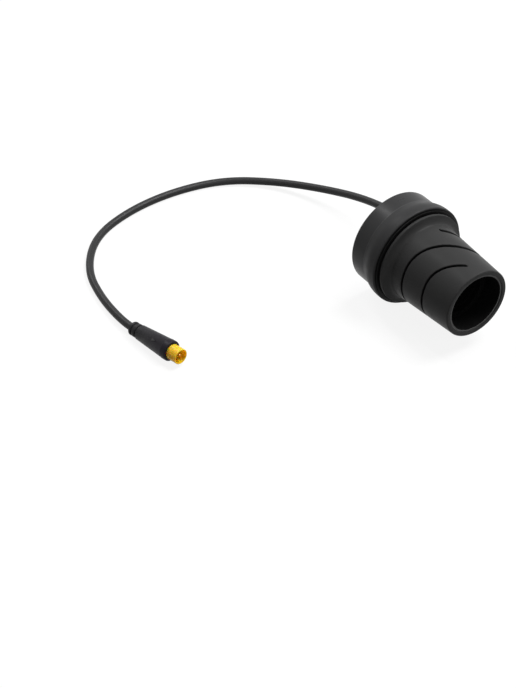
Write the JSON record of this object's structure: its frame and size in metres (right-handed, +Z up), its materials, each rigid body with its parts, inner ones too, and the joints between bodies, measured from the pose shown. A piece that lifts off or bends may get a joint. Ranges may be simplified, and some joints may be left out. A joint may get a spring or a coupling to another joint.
{
  "type": "twist throttle",
  "caption": "Half-length twist throttle for an e-bike handlebar: stepped drum housing, flared rubber sleeve with a spiral groove, short cable and round plug.",
  "frame": {"origin": "on the handlebar bore's axis, at the housing's inboard face", "axes": "+X along the bore to the open outboard end, +Z up, -Y towards the rider"},
  "size_m": [0.1879, 0.1577, 0.0534],
  "materials": {
    "housing_plastic": "satin moulded",
    "core_plastic": "satin moulded",
    "grip_rubber": "matte moulded rubber",
    "gland_rubber": "matte",
    "cable_jacket": "satin extruded",
    "plug_jacket": "satin moulded",
    "nose_plastic": "semi-gloss",
    "screw_steel": "black oxide",
    "spring_steel": "bright drawn",
    "contact_brass": "bright plated",
    "magnet_alloy": "nickel plated",
    "board_laminate": "lacquered",
    "sensor_epoxy": "matte",
    "washer_nylon": "natural",
    "red_insulation": "satin",
    "black_insulation": "satin",
    "green_insulation": "satin"
  },
  "bodies": {
    "housing": {"housing_base": "housing_plastic", "housing_ring": "housing_plastic", "cover_screws": "screw_steel", "clamp_screw": "screw_steel", "clamp_insert": "contact_brass", "sensor_board": "board_laminate", "magnetic_sensor": "sensor_epoxy", "supply_wire": "red_insulation", "ground_wire": "black_insulation", "signal_wire": "green_insulation", "return_spring": "spring_steel", "wear_washer": "washer_nylon", "cable_gland": "gland_rubber", "cable": "cable_jacket", "plug_body": "plug_jacket", "plug_nose": "nose_plastic", "contact_pin_1": "contact_brass", "contact_pin_2": "contact_brass", "contact_pin_3": "contact_brass"},
    "twist_sleeve": {"sleeve_core": "core_plastic", "rubber_cover": "grip_rubber", "magnet_north": "magnet_alloy", "magnet_south": "magnet_alloy"}
  },
  "joints": [
    {"name": "twist", "type": "hinge", "parent": "housing", "child": "twist_sleeve", "pos_m": [0, 0, 0], "axis": [1, 0, 0], "range_deg": [0, 70], "stiffness_Nm_per_rad": 0.12, "springref_deg": -20.05, "deforming": ["return_spring"]}
  ]
}
